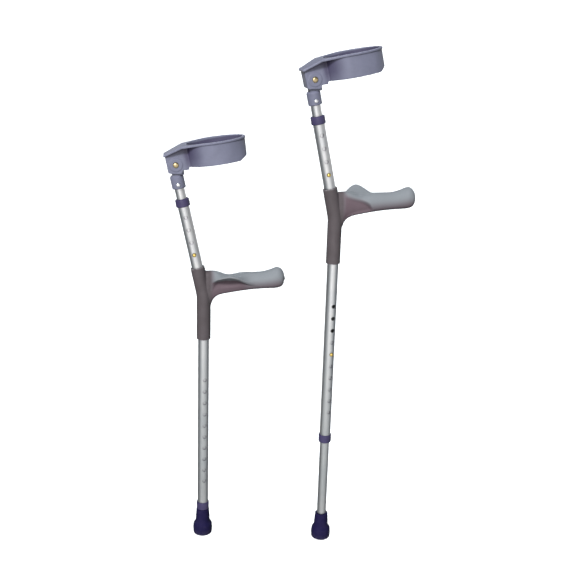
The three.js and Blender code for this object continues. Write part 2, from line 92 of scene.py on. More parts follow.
# The cuff and its fitting, about the pivot: +X forward, +Y to the far side, +Z up.
RING_MIDDLE, RING_LONG, RING_WIDE, RING_WALL = 80, 115, 83, 4
BRACKET_REAR, BRACKET_FRONT, BRACKET_HALF = -17.3, 40, 16
RIM_REAR, RIM_HALF, OVERHANG = -20, 20, 1.7
BOSS, BOSS_HALF = 12.5, 17
FORK_REAR, FORK_FRONT, FORK_HALF, FORK_TOP = -15, 16, 12.8, 14.5
TONGUE, TONGUE_HALF = 11.5, 10.7
PIVOT_BORE, RIVET_BORE = 3.8, 2.8
CUFF_RIVET_SHAPE = dict(shank=3.5, head=5.6, height=2.4, face=BOSS_HALF)
FITTING_RIVET_SHAPE = dict(shank=2.5, head=4.1, height=1.9, face=FITTING - 0.1)

# Where each crutch stands, its top leg hole's height, its cuff's rise towards the front in degrees,
# the side of its palm rest, whether it is the tall one, with a higher edge to that rest, and how
# far its leg's button is pushed in.
CRUTCHES = [
    dict(
        hand="right", x=-166.89, y=13.91, yaw=0.0,
        top=355.5, tilt=11.7, outward=-1, tall=False, stow=4.75,
    ),
    dict(
        hand="left", x=84.75, y=-15.54, yaw=6.7,
        top=522.0, tilt=14.0, outward=1, tall=True, stow=0.0,
    ),
]

# ------------------------------------------------------------------------------------------------
# Curves
# ------------------------------------------------------------------------------------------------

SIDES = 64  # of a round section
STEP = 6.0  # along a tube
ON_AXIS = 1e-6
MOST_OF_SIDE = 0.45  # the share of a side that one rounded corner may take
NO_REACH = 1e-4
CURVE_STEPS = 6


def circle(radius, sides):
    turns = [2 * pi * i / sides for i in range(sides)]
    return [(radius * cos(a), radius * sin(a)) for a in turns]


def bezier(p, q, r, steps):
    """The quadratic curve from p to r, drawn towards q, with both ends."""

    def at(t):
        return tuple((1 - t) ** 2 * p[m] + 2 * t * (1 - t) * q[m] + t * t * r[m] for m in (0, 1))

    return [at(k / steps) for k in range(steps + 1)]


def rounded(corners, steps=4, closed=True):
    """Rounds a 2-D outline. Each corner is (u, v, reach), its reach along both of its sides."""
    out = []
    last = len(corners) - 1
    for i, (u, v, reach) in enumerate(corners):
        before, after = corners[i - 1], corners[(i + 1) % (last + 1)]
        side_before = hypot(before[0] - u, before[1] - v)
        side_after = hypot(after[0] - u, after[1] - v)
        reach = min(reach, side_before * MOST_OF_SIDE, side_after * MOST_OF_SIDE)
        if reach < NO_REACH or (not closed and i in (0, last)):
            out.append((u, v))
            continue
        start, end = (
            (u + (other[0] - u) * reach / side, v + (other[1] - v) * reach / side)
            for other, side in ((before, side_before), (after, side_after))
        )
        out += bezier(start, (u, v), end, steps)
    return out


def spline(points, steps):
    """A Catmull-Rom curve through the points, without the last one."""
    out = []
    last = len(points) - 1
    for i in range(last):
        a, b, c, d = points[max(i - 1, 0)], points[i], points[i + 1], points[min(i + 2, last)]

        def at(t, m):
            bow = 2 * a[m] - 5 * b[m] + 4 * c[m] - d[m]
            twist = 3 * b[m] - a[m] - 3 * c[m] + d[m]
            return 0.5 * (2 * b[m] + (c[m] - a[m]) * t + bow * t * t + twist * t**3)

        out += [(at(k / steps, 0), at(k / steps, 1)) for k in range(steps)]
    return out


def through(pairs):
    """Smooth interpolation through (x, value) pairs, level at both ends."""
    last = len(pairs) - 1

    def slope(k):
        if k <= 0 or k >= last:
            return 0.0
        return (pairs[k + 1][1] - pairs[k - 1][1]) / (pairs[k + 1][0] - pairs[k - 1][0])

    def value(x):
        if x <= pairs[0][0]:
            return pairs[0][1]
        if x >= pairs[last][0]:
            return pairs[last][1]
        i = next(k for k in range(last) if pairs[k][0] <= x <= pairs[k + 1][0])
        span = pairs[i + 1][0] - pairs[i][0]
        t = (x - pairs[i][0]) / span
        rise = 3 * t * t - 2 * t**3
        leave = (t**3 - 2 * t * t + t) * span * slope(i)
        arrive = (t**3 - t * t) * span * slope(i + 1)
        return pairs[i][1] * (1 - rise) + pairs[i + 1][1] * rise + leave + arrive

    return value


def smooth_step(x, low, high):
    t = min(1.0, max(0.0, (x - low) / (high - low)))
    return t * t * (3 - 2 * t)


def stations(low, high, pitch):
    """Even stations from low to high, about a pitch apart."""
    count = max(1, round((high - low) / pitch))
    return [low + (high - low) * i / count for i in range(count + 1)]


# ------------------------------------------------------------------------------------------------
# Meshes
# ------------------------------------------------------------------------------------------------


def object_from(bm, name="piece"):
    """A new object from a bmesh, with its faces pointing out."""
    bmesh.ops.recalc_face_normals(bm, faces=bm.faces)
    mesh = bpy.data.meshes.new(name)
    bm.to_mesh(mesh)
    bm.free()
    obj = bpy.data.objects.new(name, mesh)
    bpy.context.scene.collection.objects.link(obj)
    return obj


def skin(bm, rows):
    """Faces from each row of vertices to the next. A row of one vertex is a pole."""
    for low, high in zip(rows, rows[1:]):
        if len(low) == len(high) == 1:
            continue
        sides = max(len(low), len(high))
        for i in range(sides):
            j = (i + 1) % sides
            below = low if len(low) == 1 else [low[i], low[j]]
            above = high if len(high) == 1 else [high[j], high[i]]
            bm.faces.new(below + above)


def loft(rings, closed=False):
    """Skins equal rings of points one to the next. Open lofts get an end face each."""
    bm = bmesh.new()
    rows = [[bm.verts.new(p) for p in ring] for ring in rings]
    skin(bm, rows + rows[:1] if closed else rows)
    if not closed:
        bm.faces.new(rows[0][::-1])
        bm.faces.new(rows[-1])
    return object_from(bm)


def lathe(profile, sides=SIDES):
    """A profile of (radius, height) turned about Z, closed on itself unless both ends are poles."""
    bm = bmesh.new()
    turn = circle(1, sides)
    rows = []
    for r, h in profile:
        ring = turn if r > ON_AXIS else [(0, 0)]
        rows.append([bm.verts.new((r * c, r * s, h)) for c, s in ring])
    poles = len(rows[0]) == len(rows[-1]) == 1
    skin(bm, rows if poles else rows + rows[:1])
    return object_from(bm)


def plate(outline, low, high):
    """An (x, z) outline given a thickness along Y."""
    return loft([[(x, low, z) for x, z in outline], [(x, high, z) for x, z in outline]])


def slab(outline, low, high):
    """An (x, y) outline given a height."""
    return loft([[(x, y, low) for x, y in outline], [(x, y, high) for x, y in outline]])


def turned(angle, axis):
    return Matrix.Rotation(angle, 4, axis)


def shifted(x, y, z):
    return Matrix.Translation((x, y, z))


def moved(obj, matrix):
    obj.data.transform(matrix)
    return obj


def cross_rod(radius, low, high, x=0.0, z=0.0, sides=48):
    """A cylinder along Y at (x, z)."""
    on_y = shifted(x, 0, z) @ turned(-pi / 2, "X")
    return moved(slab(circle(radius, sides), low, high), on_y)


def long_rod(radius, low, high, sides=32):
    """A cylinder along X."""
    return moved(slab(circle(radius, sides), low, high), turned(pi / 2, "Y"))


def applied(obj):
    """Turns an object's modifiers into mesh."""
    depsgraph = bpy.context.evaluated_depsgraph_get()
    mesh = bpy.data.meshes.new_from_object(obj.evaluated_get(depsgraph))
    old = obj.data
    obj.modifiers.clear()
    obj.data = mesh
    bpy.data.meshes.remove(old)
    return obj


def combined(obj, operation, *others):
    for other in others:
        modifier = obj.modifiers.new("combine", "BOOLEAN")
        modifier.operation = operation
        modifier.solver = "EXACT"
        modifier.object = other
    applied(obj)
    for other in others:
        bpy.data.objects.remove(other)
    return obj


def join(obj, *others):
    return combined(obj, "UNION", *others)


def cut(obj, *others):
    return combined(obj, "DIFFERENCE", *others)


def overlap(obj, other):
    return combined(obj, "INTERSECT", other)


def merged(objects):
    """Several separate bodies as one mesh, such as a set of cutters."""
    bm = bmesh.new()
    for obj in objects:
        bm.from_mesh(obj.data)
        bpy.data.objects.remove(obj)
    return object_from(bm)


def moulded(obj, voxel, passes):
    """Remeshes a body in voxels and relaxes it, which gives every edge a moulded radius."""
    remesh = obj.modifiers.new("remesh", "REMESH")
    remesh.mode = "VOXEL"
    remesh.voxel_size = voxel
    relax = obj.modifiers.new("relax", "SMOOTH")
    relax.factor = 0.5
    relax.iterations = passes
    return applied(obj)


def mark(obj, **masks):
    """Stores a value for each vertex under each name, from functions of its (x, y, z)."""
    for name, value in masks.items():
        layer = obj.data.attributes.new(name, "FLOAT", "POINT")
        for i, vertex in enumerate(obj.data.vertices):
            layer.data[i].value = value(*vertex.co)
    return obj


# ------------------------------------------------------------------------------------------------
# Shader nodes
# ------------------------------------------------------------------------------------------------


def add_node(tree, kind, inputs=None, **settings):
    """A new shader node. Each input takes a value, or a link if it is given a socket."""
    node = tree.nodes.new(f"ShaderNode{kind}")
    for name, value in settings.items():
        setattr(node, name, value)
    for name, value in (inputs or {}).items():
        if isinstance(value, bpy.types.NodeSocket):
            tree.links.new(value, node.inputs[name])
        else:
            node.inputs[name].default_value = value
    return node


def ranged(tree, source, low, high, first=0.0, last=1.0):
    """Carries low..high over to first..last."""
    inputs = {"Value": source, "From Min": low, "From Max": high, "To Min": first, "To Max": last}
    return add_node(tree, "MapRange", inputs).outputs["Result"]


def mixed(tree, factor, a, b, kind="MIX"):
    """Blends two colours."""
    inputs = {"Factor": factor, "A": a, "B": b}
    return add_node(tree, "Mix", inputs, data_type="RGBA", blend_type=kind).outputs["Result"]


def principled(name, **inputs):
    """A new material, its node tree and its shader, with the inputs given."""
    material = bpy.data.materials.new(name)
    material.use_nodes = True
    shader = material.node_tree.nodes["Principled BSDF"]
    for key, value in inputs.items():
        shader.inputs[key.replace("_", " ")].default_value = value
    return material, material.node_tree, shader


# ------------------------------------------------------------------------------------------------
# Finishes
# ------------------------------------------------------------------------------------------------


class Finish:
    """A Principled material with object-space noise, built step by step."""

    def __init__(self, name, colour, roughness, metallic=0.0, specular=0.5):
        self.material, self.tree, self.shader = principled(
            name,
            Base_Color=(*colour, 1),
            Roughness=roughness,
            Metallic=metallic,
            Specular_IOR_Level=specular,
        )
        self.place = add_node(self.tree, "TexCoord").outputs["Object"]
        self.colour = (*colour, 1)
        self.normal = None

    def noise(self, scale, detail=4.0, stretch=(1, 1, 1), rough=0.55):
        mapping = add_node(self.tree, "Mapping", {"Scale": stretch, "Vector": self.place})
        inputs = {"Scale": scale, "Detail": detail, "Roughness": rough}
        inputs["Vector"] = mapping.outputs["Vector"]
        return add_node(self.tree, "TexNoise", inputs).outputs["Fac"]

    def ramp(self, source, low, high):
        """0 where the source is low and 1 where it is high."""
        return ranged(self.tree, source, low, high)

    def tint(self, mask, colour):
        self.colour = mixed(self.tree, mask, self.colour, (*colour, 1))
        self.tree.links.new(self.colour, self.shader.inputs["Base Color"])

    def roughen(self, source, low, high, least=0.35, most=0.65):
        rough = ranged(self.tree, source, least, most, low, high)
        self.tree.links.new(rough, self.shader.inputs["Roughness"])

    def bump(self, source, strength, distance):
        inputs = {"Strength": strength, "Distance": distance, "Height": source}
        if self.normal is not None:
            inputs["Normal"] = self.normal
        self.normal = add_node(self.tree, "Bump", inputs).outputs["Normal"]
        self.tree.links.new(self.normal, self.shader.inputs["Normal"])

    def edges(self, low, high):
        """A mask of the convex edges, where use rubs first."""
        geometry = add_node(self.tree, "NewGeometry")
        return self.ramp(geometry.outputs["Pointiness"], low, high)

    def painted_hollow_shade(self, reach, local=True):
        """A mask of the hollows, for painted shade where light doesn't get in."""
        node = add_node(
            self.tree, "AmbientOcclusion", {"Distance": reach}, samples=8, only_local=local
        )
        return ranged(self.tree, node.outputs["AO"], low=0.92, high=0.45, last=0.9)

    def times(self, a, b):
        return add_node(self.tree, "Math", {0: a, 1: b}, operation="MULTIPLY").outputs[0]

    def attribute(self, name):
        """A mask that mark() stored on the mesh."""
        return add_node(self.tree, "Attribute", attribute_name=name).outputs["Fac"]

    def height(self, low, high):
        """0 at one height above the floor and 1 at another, in metres."""
        split = add_node(self.tree, "SeparateXYZ", {"Vector": self.place})
        return self.ramp(split.outputs["Z"], low, high)


def anodised_tube():
    """Drawn along the tube, clouded by handling, and with painted shade in its holes."""
    f = Finish("anodised_aluminium", (0.58, 0.575, 0.57), 0.32, metallic=1.0)
    drawn = f.noise(1.0, 6.0, (1400, 1400, 9), 0.7)
    f.tint(f.ramp(f.noise(28, 3.0), 0.35, 0.7), (0.52, 0.525, 0.53))
    f.tint(f.ramp(drawn, 0.62, 0.80), (0.44, 0.44, 0.45))
    # painted shade in the holes and on the tube seen through them
    f.tint(f.painted_hollow_shade(0.005, local=False), (0.34, 0.32, 0.35))
    f.roughen(drawn, 0.27, 0.44)
    f.bump(drawn, 0.16, 0.00006)
    f.bump(f.noise(2600, 2.0), 0.10, 0.00003)
    return f.material


def cuff_plastic():
    """Grey-blue moulding with painted shade in its hollows, creases and ring's inner wall, scuffed
    along its edges.
    """
    f = Finish("cuff_plastic", (0.072, 0.075, 0.105), 0.42, specular=0.3)
    clouds = f.noise(40, 4.0)
    f.tint(f.ramp(clouds, 0.38, 0.72), (0.086, 0.089, 0.124))
    # painted shade in the hollows
    f.tint(f.painted_hollow_shade(0.02), (0.020, 0.010, 0.034))
    # painted shade on the ring's inner wall and painted shadow in the creases under the deck
    f.tint(f.attribute("shade"), (0.010, 0.005, 0.026))
    scuffs = f.times(f.edges(0.515, 0.56), f.ramp(f.noise(260, 5.0), 0.38, 0.62))
    f.tint(scuffs, (0.17, 0.17, 0.23))
    f.roughen(clouds, 0.36, 0.50)
    f.bump(f.noise(2300, 3.0), 0.20, 0.00012)
    return f.material


def handle_plastic():
    """Matt dark sleeve, paler towards the palm and painted lighter on top, with painted shade in
    its hollows and worn edges.
    """
    f = Finish("handle_plastic", (0.037, 0.031, 0.033), 0.56, specular=0.25)
    f.tint(f.ramp(f.noise(36, 4.0), 0.38, 0.7), (0.045, 0.038, 0.041))
    f.tint(f.attribute("grip_zone"), (0.078, 0.060, 0.070))
    # the grip's top paler and bluer: partly palm wear, partly painted light from above
    f.tint(f.attribute("palm_wear"), (0.098, 0.106, 0.115))
    # painted shade in the hollows under the grip's two ridges
    f.tint(f.attribute("shade"), (0.060, 0.043, 0.051))
    # painted shade in the hollows
    f.tint(f.painted_hollow_shade(0.014), (0.020, 0.014, 0.018))
    wear = f.times(f.edges(0.51, 0.56), f.ramp(f.noise(200, 5.0), 0.4, 0.62))
    f.tint(wear, (0.14, 0.135, 0.14))
    f.roughen(f.noise(90, 4.0), 0.46, 0.64)
    f.bump(f.noise(1500, 4.0), 0.34, 0.00018)
    return f.material


def collar_plastic():
    f = Finish("collar_plastic", (0.020, 0.016, 0.044), 0.38, specular=0.35)
    f.tint(f.ramp(f.noise(60, 4.0), 0.4, 0.7), (0.027, 0.022, 0.054))
    f.roughen(f.noise(120, 4.0), 0.34, 0.5)
    f.bump(f.noise(2400, 3.0), 0.18, 0.0001)
    return f.material


def ferrule_rubber():
    """Dusty rubber, dustier in its last 14 mm above the floor."""
    f = Finish("ferrule_rubber", (0.004, 0.003, 0.019), 0.68, specular=0.12)
    dust = f.noise(85, 6.0)
    f.tint(f.ramp(dust, 0.48, 0.78), (0.010, 0.008, 0.026))
    low_dust = f.times(f.height(0.014, 0.0), f.ramp(f.noise(240, 6.0), 0.35, 0.65))
    f.tint(low_dust, (0.020, 0.018, 0.034))
    f.roughen(dust, 0.58, 0.8)
    f.bump(f.noise(1300, 4.0), 0.3, 0.0002)
    return f.material


def plug_plastic():
    f = Finish("plug_plastic", (0.02, 0.019, 0.026), 0.4, specular=0.3)
    f.tint(f.ramp(f.noise(300, 3.0), 0.4, 0.7), (0.028, 0.026, 0.034))
    f.bump(f.noise(2200, 3.0), 0.15, 0.0001)
    return f.material


def brass():
    f = Finish("brass", (0.80, 0.57, 0.17), 0.24, metallic=1.0)
    f.tint(f.ramp(f.noise(420, 4.0), 0.42, 0.7), (0.62, 0.41, 0.11))
    f.roughen(f.noise(900, 5.0), 0.2, 0.42)
    f.bump(f.noise(1800, 5.0), 0.18, 0.00005)
    return f.material


def plain_metal(name, colour, rough):
    """A small fitting's metal, with darker patches of its own colour."""
    f = Finish(name, colour, rough, metallic=1.0)
    f.tint(f.ramp(f.noise(350, 4.0), 0.4, 0.7), tuple(c * 0.82 for c in colour))
    f.roughen(f.noise(1100, 5.0), rough - 0.07, rough + 0.1)
    f.bump(f.noise(1500, 5.0), 0.15, 0.00005)
    return f.material


FINISHES = {
    "anodised_tube": anodised_tube(),
    "cuff_plastic": cuff_plastic(),
    "handle_plastic": handle_plastic(),
    "collar_plastic": collar_plastic(),
    "ferrule_rubber": ferrule_rubber(),
    "plug_plastic": plug_plastic(),
    "brass": brass(),
    "rivet_brass": plain_metal("rivet_brass", (0.46, 0.36, 0.20), 0.25),
    "rivet_steel": plain_metal("rivet_steel", (0.72, 0.71, 0.74), 0.26),
    "steel_rod": plain_metal("steel_rod", (0.50, 0.50, 0.52), 0.36),
    "zinc_steel": plain_metal("zinc_steel", (0.60, 0.61, 0.64), 0.3),
    "spring_steel": plain_metal("spring_steel", (0.32, 0.32, 0.36), 0.33),
}

# ------------------------------------------------------------------------------------------------
# Tubes
# ------------------------------------------------------------------------------------------------


def axis_at(distance, top):
    """The bent tube's axis: position and lean at a distance up from the bend."""
    bend = top + BEND
    if distance <= -TANGENT:
        return 0.0, bend + distance, 0.0
    if distance >= TANGENT:
        return -distance * sin(LEAN), bend + distance * cos(LEAN), LEAN
    turn = LEAN * (distance + TANGENT) / (2 * TANGENT)
    return -BEND_RADIUS * (1 - cos(turn)), bend - TANGENT + BEND_RADIUS * sin(turn), turn


def along_axis(radius, low, high, top):
    """Rings square to the bent tube's axis."""
    rings = []
    for d in stations(low, high, STEP):
        x, z, lean = axis_at(d, top)
        ring = circle(radius, SIDES)
        rings.append([(x + a * cos(lean), b, z + a * sin(lean)) for a, b in ring])
    return rings


def pipe(outside, inside):
    """A tube from its outer rings and its inner rings, with a flat wall at each end."""
    return loft(outside + inside[::-1], closed=True)


NEAR_WALL = (-16, -5)  # how far out a cutter has to reach to open one wall of a tube


def side_hole(x, z, turn=0.0, lean=0.0):
    """A cutter for one snap hole, through the near wall only."""
    place = shifted(x, 0, z) @ turned(turn, "Z")
    return moved(cross_rod(HOLE_RADIUS, *NEAR_WALL, sides=32), place @ turned(-lean, "Y"))


def main_tube(c):
    top = c["top"]
    low, high = LOWER_COLLAR[0] + TUBE_END - BEND, FOREARM_COLLAR[1] - TUBE_END
    tube = pipe(along_axis(OUTER, low, high, top), along_axis(OUTER_BORE, low, high, top))
    tools = [side_hole(0, top - k * HOLE_PITCH, LEG_TURN) for k in range(LEG_HOLES)]
    for k in range(FOREARM_HOLES):
        x, z, lean = axis_at(FOREARM_BUTTON + k * HOLE_PITCH, top)
        tools.append(side_hole(x, z, 0, lean))
    return cut(tube, merged(tools))


def straight_tube(low, high):
    outside, inside = (
        [[(x, y, z) for x, y in circle(radius, SIDES)] for z in stations(low, high, STEP)]
        for radius in (INNER, INNER_BORE)
    )
    return pipe(outside, inside)


def leg_tube():
    tube = straight_tube(SOLE + TIP_WASHER + 2 * GAP, LEG_BUTTON + PAST_BUTTON)
    return cut(tube, side_hole(0, LEG_BUTTON, LEG_TURN))


def forearm_tube():
    tube = straight_tube(FOREARM_BUTTON - PAST_BUTTON, SHOULDER - 6)
    rivet_hole = cross_rod(RIVET_BORE, -12, 12, 0, FITTING_RIVET)
    return cut(tube, side_hole(0, FOREARM_BUTTON), rivet_hole)


# ------------------------------------------------------------------------------------------------
# Turned pieces, buttons and springs
# ------------------------------------------------------------------------------------------------


def dome(radius, base, rise, steps):
    """A quarter ellipse of (radius, height), from its rim towards its crown, with both ends."""
    turns = [pi / 2 * i / steps for i in range(steps + 1)]
    return [(radius * cos(a), base + rise * sin(a)) for a in turns]


def collar(radius, lip_end, open_end):
    """A cap over the outer tube's end, with a lip that closes round the inner tube."""
    way = 1 if open_end > lip_end else -1
    length = abs(open_end - lip_end)
    lip = INNER + 0.25
    outline = [
        (lip, 0, 0.3),
        (radius - 1.5, 0, 1.2),
        (radius - 0.2, 1.3, 1.2),
        (radius, length - 0.9, 0.4),
        (radius - 0.8, length, 0.3),
        (OUTER + GAP, length, 0.3),
        (OUTER + GAP, COLLAR_LIP, 0.4),
        (lip, COLLAR_LIP, 0.8),
    ]
    return lathe([(r, lip_end + way * h) for r, h in rounded(outline)])


def ferrule():
    """The rubber foot: two grooves under the sole, a beaded bulge and a stepped neck."""
    outline = [(0, 0, 0)]
    for start, end in ((4.0, 7.4), (9.6, 12.8)):
        outline += [(start, 0, 0.4), (start + 0.6, 1.6, 0.4), (end - 0.6, 1.6, 0.4), (end, 0, 0.4)]
    outline += [
        (18.0, 0, 1.6),
        (19.8, 2.4, 1.8),
        (20.0, 10.6, 0.6),
        (20.4, 11.6, 0.5),
        (20.4, 13.4, 0.5),
        (20.0, 14.4, 0.6),
        (19.8, 20.4, 2.0),
        (18.8, 23.4, 2.6),
        (15.4, 28.4, 3.0),
        (14.7, 33, 2.0),
        (14.5, 41.6, 0.4),
        (14.1, 42.2, 0.4),
        (13.9, 49.6, 0.4),
        (13.5, 50.2, 0.4),
        (13.5, FERRULE_TOP - 1.2, 0.6),
        (12.6, FERRULE_TOP, 0.6),
        (INNER + 0.1, FERRULE_TOP, 0.3),
        (INNER + 0.1, SOLE, 0.2),
        (0, SOLE, 0),
    ]
    return lathe(rounded(outline, closed=False), 80)


def button(stow):
    profile = [(0, PIN_FOOT), (PIN - 0.2, PIN_FOOT), (PIN, PIN_FOOT + 0.2)]
    profile += dome(PIN, PIN_CROWN - PIN_DOME, PIN_DOME, 8)[:-1] + [(0, PIN_CROWN)]
    outward = shifted(0, stow, 0) @ turned(pi / 2, "X")
    return moved(lathe(profile, 40), outward)


def hairpin(way, stow):
    """A strip of spring steel bent back on itself, its bend up (1) or down (-1) from the pin."""
    tip = -SPRING_OFFSET + stow
    corners = [(tip, -SPRING_TAIL), (tip, SPRING_TAIL), (-SPRING_OFFSET, SPRING_REACH)]
    path = []
    for (y0, z0), (y1, z1), steps in zip(corners, corners[1:], (5, 12)):
        path += [(y0 + (y1 - y0) * k / steps, z0 + (z1 - z0) * k / steps) for k in range(steps)]
    for k in range(24):
        a = pi * k / 24
        path.append((-SPRING_OFFSET * cos(a), SPRING_REACH + SPRING_OFFSET * sin(a)))
    path += [(SPRING_OFFSET, SPRING_REACH * (1 - k / 12)) for k in range(13)]
    wide, thin = SPRING_WIDTH / 2, SPRING_STRIP / 2
    signs = ((-1, -1), (1, -1), (1, 1), (-1, 1))
    section = rounded([(wide * u, thin * v, 0.15) for u, v in signs], 2)
    rings = []
    for i, (y, z) in enumerate(path):
        (ya, za), (yb, zb) = path[max(i - 1, 0)], path[min(i + 1, len(path) - 1)]
        size = hypot(yb - ya, zb - za)
        dy, dz = (yb - ya) / size, (zb - za) / size
        rings.append([(u, y - v * dz, way * (z + v * dy)) for u, v in section])
    return loft(rings)


def spring_bend(way, stow):
    """The strip stays with its tube at the first point, and with its button past the second."""
    across = 1 / (2 * SPRING_OFFSET - stow)
    along = way * SPRING_OFFSET * across / (SPRING_REACH + SPRING_OFFSET)
    size = across**2 + along**2
    return (0, SPRING_OFFSET, 0), (0, SPRING_OFFSET - across / size, -along / size)


def rivet(x, z, shank, head, height, face):
    """A shank along Y with a domed head on each end."""
    rim = 0.35
    half = [(shank, face), (head - 0.15, face), (head, face + 0.15)]
    half += dome(head, face + rim, height - rim, 9)[:-1] + [(0, face + height)]
    profile = [(r, -h) for r, h in reversed(half)] + half
    along_y = shifted(x, 0, z) @ turned(pi / 2, "X")
    return moved(lathe(profile, 48), along_y)


def end_plug():
    """A low domed plug in the grip's tip, along the grip's axis."""
    profile = [(0, PLUG_START), (PLUG, PLUG_START)]
    profile += [(PLUG, PLUG_TIP - 2.2), (PLUG - 0.4, PLUG_TIP - 0.9)]
    profile += [(r, PLUG_TIP + up) for r, up in ((4.4, 0), (3.4, 0.55), (1.8, 1.1), (0, 1.3))]
    return moved(lathe(profile, 40), turned(pi / 2, "Y"))


# ------------------------------------------------------------------------------------------------
# Handle: distances x along the grip from the tube's axis, and heights above the top leg hole
# ------------------------------------------------------------------------------------------------

GRIP_TOP = through([
    (0, 229), (22, 229), (48, 221.5), (72, 225.5), (114, 227.5), (131, 232), (144.5, 237),
    (151, 235), (156, 230), (158.8, 224), (160.3, 216.5),
])
GRIP_BOTTOM = through([
    (0, 150), (13, 156), (18, 169), (27, 178), (45, 183.5), (90, 190.5), (120, 193), (142, 194),
    (150, 195.5), (155, 198.5), (158.3, 203), (160.3, 211),
])
GRIP_HALF = through([
    (0, 10), (20, 13.5), (50, 15), (110, 16), (130, 17), (143, 18), (151, 16.5), (156, 13),
    (158.8, 8), (160.3, 2),
])
# The palm rest: its share of the section, its reach past the grip's side, and its edge's height,
# which is higher on the tall crutch.
WING = through([(4, 0), (26, 1), (66, 1), (112, 0)])
WING_REACH = through([(6, 0), (24, 10), (46, 15.5), (66, 13), (92, 5), (118, 0)])
RIDGE = through([
    (8, 214), (19, 216), (29, 219), (49, 222.5), (67, 220.5), (82, 214), (94, 207), (106, 204),
    (121, 204),
])
HIGH_RIDGE = through([
    (8, 214), (17, 220), (34, 229), (50, 233), (67, 228), (83, 218), (97, 208), (106, 204),
    (121, 204),
])
# The fingers' side: the edge over its hollow, and the hollow's depth.
FINGER_RIDGE = through([
    (10, 226), (24, 222), (37, 218), (52, 214), (64, 207), (70, 198), (76, 186), (84, 180),
])
FINGER_HOLLOW = through([(6, 0), (22, 3.4), (44, 6.0), (66, 6.0), (84, 0)])
SECTION_ANGLES = [radians(a) for a in (90, 62, 30, 10, -10, -34, -56, -76, -90)]
FINGER_STEPS = 40
TIP_STATIONS = [151.5, 153, 154.5, 156, 157.2, 158.3, 159.1, 159.7, 160.1, 160.3]


def palm_side(x, ridge):
    """(y, z) corners down the palm's side, from a plain half ellipse to one with a palm rest."""
    top, bottom, half = GRIP_TOP(x), GRIP_BOTTOM(x), GRIP_HALF(x)
    middle, tall = (top + bottom) / 2, (top - bottom) / 2
    edge, reach = ridge(x), half + WING_REACH(x)
    plain = [(half * cos(a), middle + tall * sin(a)) for a in SECTION_ANGLES]
    winged = [
        (0, top),
        (reach * 0.46, max(top - 1.2, top * 0.62 + edge * 0.38)),
        (reach - 2.6, edge + 0.9),
        (reach, edge - 1.6),
        (reach - 5.0, edge - 5.6),
        (half * 0.84, middle + tall * 0.06),
        (half * 0.78, middle - tall * 0.42),
        (half * 0.52, bottom + tall * 0.10),
        (0, bottom),
    ]
    wing = WING(x)
    return [tuple(p[m] * (1 - wing) + w[m] * wing for m in (0, 1)) for p, w in zip(plain, winged)]


def finger_side(x):
    """(y, z) points back up the fingers' side, hollowed under its ridge."""
    top, bottom, half = GRIP_TOP(x), GRIP_BOTTOM(x), GRIP_HALF(x)
    middle, tall = (top + bottom) / 2, (top - bottom) / 2
    points = []
    for k in range(FINGER_STEPS):
        a = -pi / 2 - pi * k / FINGER_STEPS
        y, z = half * cos(a), middle + tall * sin(a)
        under_ridge = smooth_step(FINGER_RIDGE(x) - z, -3.0, 9.0)
        hollow = FINGER_HOLLOW(x) * under_ridge * smooth_step(z - bottom, 0, 9)
        points.append((y + hollow * abs(cos(a)), z))
    return points


def grip(c, ridge):
    """The grip, lofted from its sections, with the palm rest drawn out on its outer side."""
    rings = []
    for x in stations(2, 150, 2.0) + TIP_STATIONS:
        section = spline(palm_side(x, ridge), CURVE_STEPS) + finger_side(x)
        rings.append([(x, y * c["outward"], c["top"] + z) for y, z in section])
    return loft(rings)


def tone_grip(obj, c, ridge):
    """Marks where the palm pales the grip, with painted light on its top, and painted shade in the
    hollows under its two ridges.
    """
    top, outward = c["top"], c["outward"]

    # painted shade under the palm rest and in the fingers' hollow
    def shade(x, y, z):
        up = z - top
        if y * outward > 0:
            under_rest = smooth_step(min(ridge(x), GRIP_TOP(x)) - 4 - up, 0, 5)
            return under_rest * smooth_step(x, 11, 20) * (1 - smooth_step(x, 74, 100))
        hollow = smooth_step(FINGER_RIDGE(x) - up, -4, 8) * smooth_step(x, 10, 20)
        return hollow * (1 - smooth_step(x, 68, 82)) * smooth_step(-y * outward, 0, 5)

    def zone(x, y, z):
        return smooth_step(x, 11, 24) * smooth_step(z - top, 168, 184)

    # the top paler: palm wear and painted light from above
    def palm(x, y, z):
        over_middle = z - top - (GRIP_TOP(x) + GRIP_BOTTOM(x)) / 2
        return zone(x, y, z) * (0.1 + 0.9 * smooth_step(over_middle, -16, 7))

    return mark(obj, shade=shade, grip_zone=zone, palm_wear=palm)


def handle(c):
    """The sleeve and the grip as one moulding, bored for the tube, the core and the plug."""
    top = c["top"]
    ridge = HIGH_RIDGE if c["tall"] else RIDGE
    low = SLEEVE_BOTTOM - BEND
    sleeve = loft(along_axis(SLEEVE, low, SLEEVE_TOP, top))
    tube_space = loft(along_axis(OUTER + 0.15, low - 5, SLEEVE_TOP + 30, top))
    on_axis = shifted(0, 0, top + HANDLE_AXIS) @ turned(-HANDLE_TILT, "Y")
    core_space = moved(long_rod(CORE_BORE, 0, CORE_BORE_END), on_axis)
    plug_space = moved(long_rod(PLUG_BORE, PLUG_BORE_START, PLUG_BORE_END), on_axis)
    body = cut(join(sleeve, grip(c, ridge)), tube_space, core_space, plug_space)
    return tone_grip(moulded(body, voxel=0.9, passes=3), c, ridge)


# ------------------------------------------------------------------------------------------------
# Fitting and cuff, in the pivot's frame
# ------------------------------------------------------------------------------------------------


# Blanks and cutters reach past what they make, each by its own amount, so no two faces coincide.
PAST_CHEEKS = (-20, 20)
BLANK, RING_BLANK, ARM_SPACE = (-30, 50), (-30.5, 50.5), (-40, 60)
SIDE_VIEW, RIM_VIEW = (-60, 60), (-61, 61)
# the strength of the cuff's painted shade and shadow
CUFF_SHADE = 0.6


